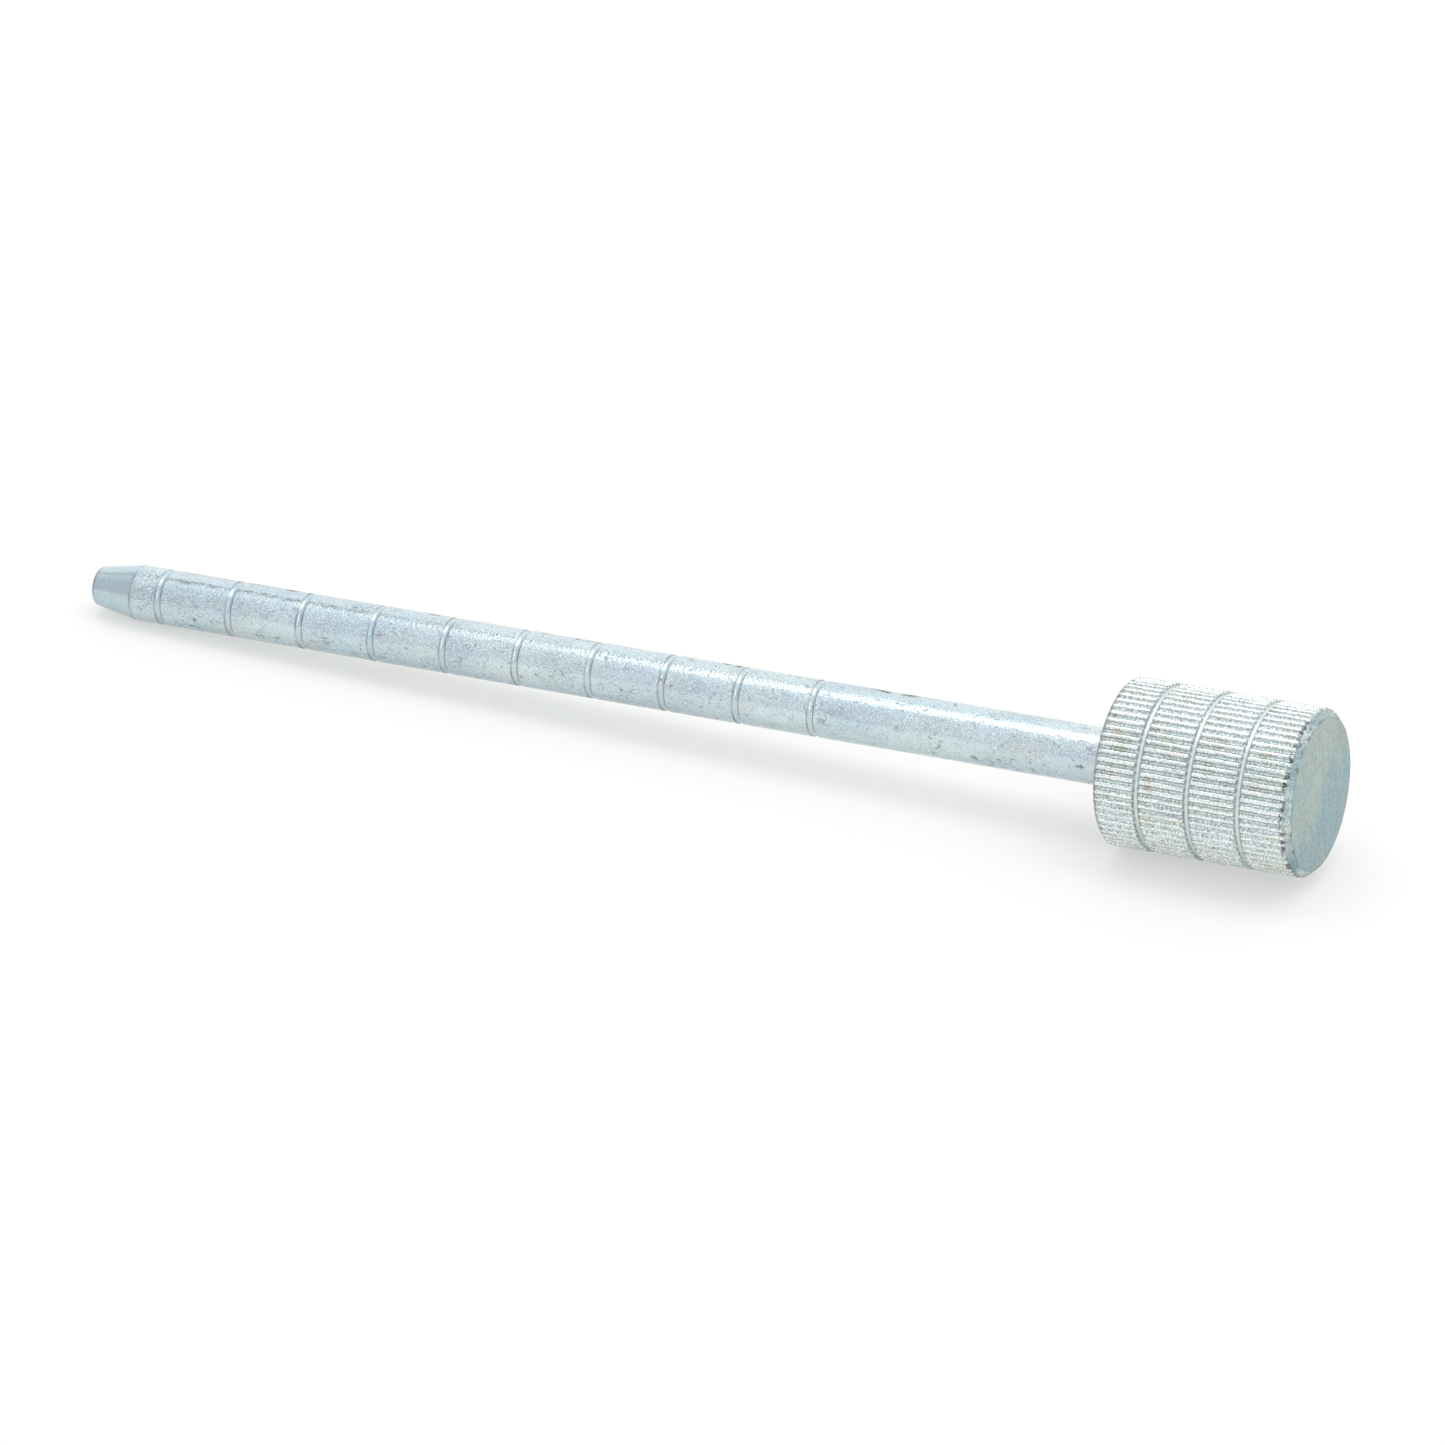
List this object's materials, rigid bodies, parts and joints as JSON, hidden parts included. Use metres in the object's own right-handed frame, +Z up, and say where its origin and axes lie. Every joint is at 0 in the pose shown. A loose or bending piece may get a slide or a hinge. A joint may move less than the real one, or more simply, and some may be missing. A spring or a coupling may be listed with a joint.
{
  "type": "graduated scriber pin",
  "caption": "Blunt-nosed zinc-plated steel marking pin: a round rod with evenly spaced depth rings, pressed into a straight-knurled round finger head.",
  "frame": {"origin": "centre of the flat nose face, the zero of the depth rings, on the pin's axis", "axes": "+X along the pin's axis from the nose towards the head; +Z up and +Y across, with the pin lying on its side"},
  "size_m": [0.165, 0.0204, 0.0204],
  "materials": {
    "rod_zinc": "drawn steel bar, bright zinc plated with a clear-blue passivation; fine orange-peel grain, small pits and lengthwise seams",
    "head_zinc": "turned and straight-knurled steel, bright zinc plated with a clear-blue passivation; bright crests, dull grainy gaps, satin end face"
  },
  "bodies": {
    "root": {"graduated_rod": "rod_zinc", "knurled_head": "head_zinc"}
  },
  "joints": []
}
